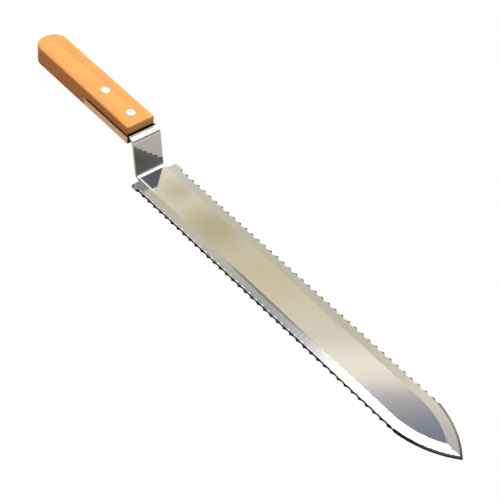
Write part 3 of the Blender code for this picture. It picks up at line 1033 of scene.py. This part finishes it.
TENT_GAIN = 1.4
BLADE_DEEP = 0.69
CARD_SLANT = 0.7
TENT_STOPS = [
    (0.10, (0.86, 0.83, 0.74)),
    (0.20, (0.80, 0.75, 0.61)),
    (0.32, (0.68, 0.615, 0.45)),
    (0.40, (0.74, 0.68, 0.53)),
    (0.435, (0.76, 0.71, 0.62)),
    (0.458, (1.05, 1.00, 0.85)),
    (0.488, (1.06, 0.99, 0.92)),
    (0.513, (0.44, 0.44, 0.475)),
    (0.55, (0.24, 0.25, 0.31)),
    (0.60, (0.125, 0.17, 0.30)),
    (0.75, (0.50, 0.50, 0.50)),
    (0.95, (0.70, 0.69, 0.66)),
]
FAR_CLOTH = ((0.84, 0.80, 0.635), (1.22, 1.10, 0.93))
CARDS = [
    ("grey for the near grind at the heel", (-1.20, -0.68), (0.30, 0.62), 0.020, (0.84, 0.77, 0.67)),
    ("darker grey for its middle", (-0.66, -0.54), (0.30, 0.615), 0.030, (0.56, 0.56, 0.57)),
    ("white for its far half", (-0.515, 0.12), (0.30, 0.615), 0.030, (3.4, 3.4, 3.4)),
    ("white for the heel line", (-1.40, -0.88), (0.50, 0.80), 0.015, (2.6, 2.6, 2.6)),
    ("blue-grey for the lower bend", (0.10, 0.50), (0.525, 0.80), 0.012, (0.26, 0.27, 0.34)),
    ("grey in front of it", (0.10, 0.50), (0.30, 0.50), 0.012, (0.64, 0.64, 0.66)),
    ("white for the upper bend", (0.52, 1.15), (0.40, 1.00), 0.040, (2.6, 2.6, 2.6)),
]
LOW_CARD = (0.26, 0.26, 0.26)
DRAPE = (0.22, 0.22, 0.22)
BELOW = (0.45, 0.45, 0.45)


def tent():
    world = bpy.data.worlds.new("cloth_tent")
    world.use_nodes = True
    graph = Graph(world.node_tree)
    direction = graph.add("ShaderNodeTexCoord", {}, {}, "Generated")
    x, y, z = axes(graph, direction)
    up = graph.math("MAXIMUM", z, 0.02)
    a, b = x / up, y / up
    above = graph.step(z, 0.0, 0.1)
    slanted = a - (b - BLADE_DEEP) * CARD_SLANT
    cloth = graph.add("ShaderNodeValToRGB", {"stops": TENT_STOPS}, {0: slanted + 1.0})
    cloth = graph.add("ShaderNodeVectorMath", {"operation": "SCALE"}, {0: cloth, "Scale": TENT_GAIN})
    far_cloth = graph.mix(graph.step(a, -0.7, -0.4), *FAR_CLOTH)
    cloth = graph.mix(graph.step(b, 0.75, 0.80), cloth, far_cloth)
    colour = graph.mix(above, BELOW, cloth)
    for _, across, deep, soft, shade in CARDS:
        colour = graph.mix(card(graph, a, b, *across, *deep, soft) * above, colour, shade)
    low_card = graph.step(x, 0.55, 0.66) * graph.step(y, 0.1, 0.25)
    colour = graph.mix(low_card * graph.band(z, (0.0, 0.04), (0.60, 0.66)), colour, LOW_CARD)
    drape = (1 - graph.step(y, -0.5, -0.1)) * (1 - graph.step(z, 0.25, 0.5))
    colour = graph.mix(drape, colour, DRAPE)
    background = world.node_tree.nodes["Background"]
    graph.tree.links.new(colour.socket, background.inputs["Color"])
    bpy.context.scene.world = world
    return world


print("tent:", tent().name)

# %% [markdown]
# One large soft lamp above does most of the lighting of the wood. It is hidden from reflections, because the
# cards already draw those. The floor is large enough to fill every view. A Light Path node splits it in two:
# the camera sees it glow plain white, with no shadow on it, while the steel and wood meet matt grey card. So
# the floor in the picture is not the floor that the blade reflects.
# %% Lamp and floor
LAMP_PLACE = Vector((0.15, 0.35, 1.1))
LAMP_SIZE = 1.4
LAMP_POWER = 7
FLOOR_HALF = 3.0
FLOOR_DROP = 0.02 * MM
FLOOR_SHADE = 0.5
FLOOR_SHADE_TOP = FLOOR_SHADE * 1.05


def aim(obj, target):
    obj.rotation_euler = (Vector(target) - obj.location).to_track_quat("-Z", "Y").to_euler()


lamp_data = bpy.data.lights.new("soft_lamp", "AREA")
lamp_data.size = LAMP_SIZE
lamp_data.energy = LAMP_POWER
soft_lamp = bpy.data.objects.new("soft_lamp", lamp_data)
soft_lamp.location = LAMP_PLACE
soft_lamp.visible_glossy = False
aim(soft_lamp, (0, 0, 0))
bpy.context.scene.collection.objects.link(soft_lamp)

floor_mesh = bpy.data.meshes.new("floor")
signs = ((-1, -1), (1, -1), (1, 1), (-1, 1))
corners = [(x * FLOOR_HALF, y * FLOOR_HALF, -FLOOR_DROP) for x, y in signs]
floor_mesh.from_pydata(corners, [], [(0, 1, 2, 3)])
studio_floor = bpy.data.objects.new("studio_floor", floor_mesh)
bpy.context.scene.collection.objects.link(studio_floor)
card_white, card_graph, card_shader, card_place = new_finish("pale_card")
grain = stretched_noise(card_graph, card_place, (40, 40, 40))
card_colour = card_graph.mix(grain, grey(FLOOR_SHADE), grey(FLOOR_SHADE_TOP))
connect(card_graph, card_shader, {"Base Color": card_colour}, {"Roughness": 0.9, "Specular IOR Level": 0.0})
glow = card_graph.add("ShaderNodeEmission", {}, {"Color": (1, 1, 1, 1), "Strength": 1.0})
seen = card_graph.add("ShaderNodeLightPath", {}, {}, "Is Camera Ray")
lit = Flow(card_graph, card_shader.outputs[0])
shown = card_graph.add("ShaderNodeMixShader", {}, {0: seen, 1: lit, 2: glow})
card_graph.tree.links.new(shown.socket, card_white.node_tree.nodes["Material Output"].inputs["Surface"])
floor_mesh.materials.append(card_white)
print("floor", 2 * FLOOR_HALF, "m wide")

# %% [markdown]
# ## The camera
# The picture is taken from above the point, to one side, with a long lens, so the blade runs corner to
# corner. The camera is aimed at a place on the blade and then rolled by a few degrees. White must stay white
# for a catalogue picture, so the plain display transform is used.
# %% Camera and display
CAMERA_PLACE = Vector((0.46818, -0.45449, 0.66049))
CAMERA_AIM = Vector((0.01532, 0.00102, 0.01))
CAMERA_ROLL = math.radians(7.13)
LENS = 107.35

camera_data = bpy.data.cameras.new("camera")
camera_data.lens = LENS
camera_data.clip_start = 0.05
camera = bpy.data.objects.new("camera", camera_data)
camera.location = CAMERA_PLACE
look = (CAMERA_AIM - CAMERA_PLACE).to_track_quat("-Z", "Y")
camera.rotation_euler = (look.to_matrix() @ Matrix.Rotation(CAMERA_ROLL, 3, "Z")).to_euler()
bpy.context.scene.collection.objects.link(camera)
bpy.context.scene.camera = camera
bpy.context.scene.view_settings.view_transform = "Standard"
print("camera", round((CAMERA_AIM - CAMERA_PLACE).length, 3), "m from the blade")
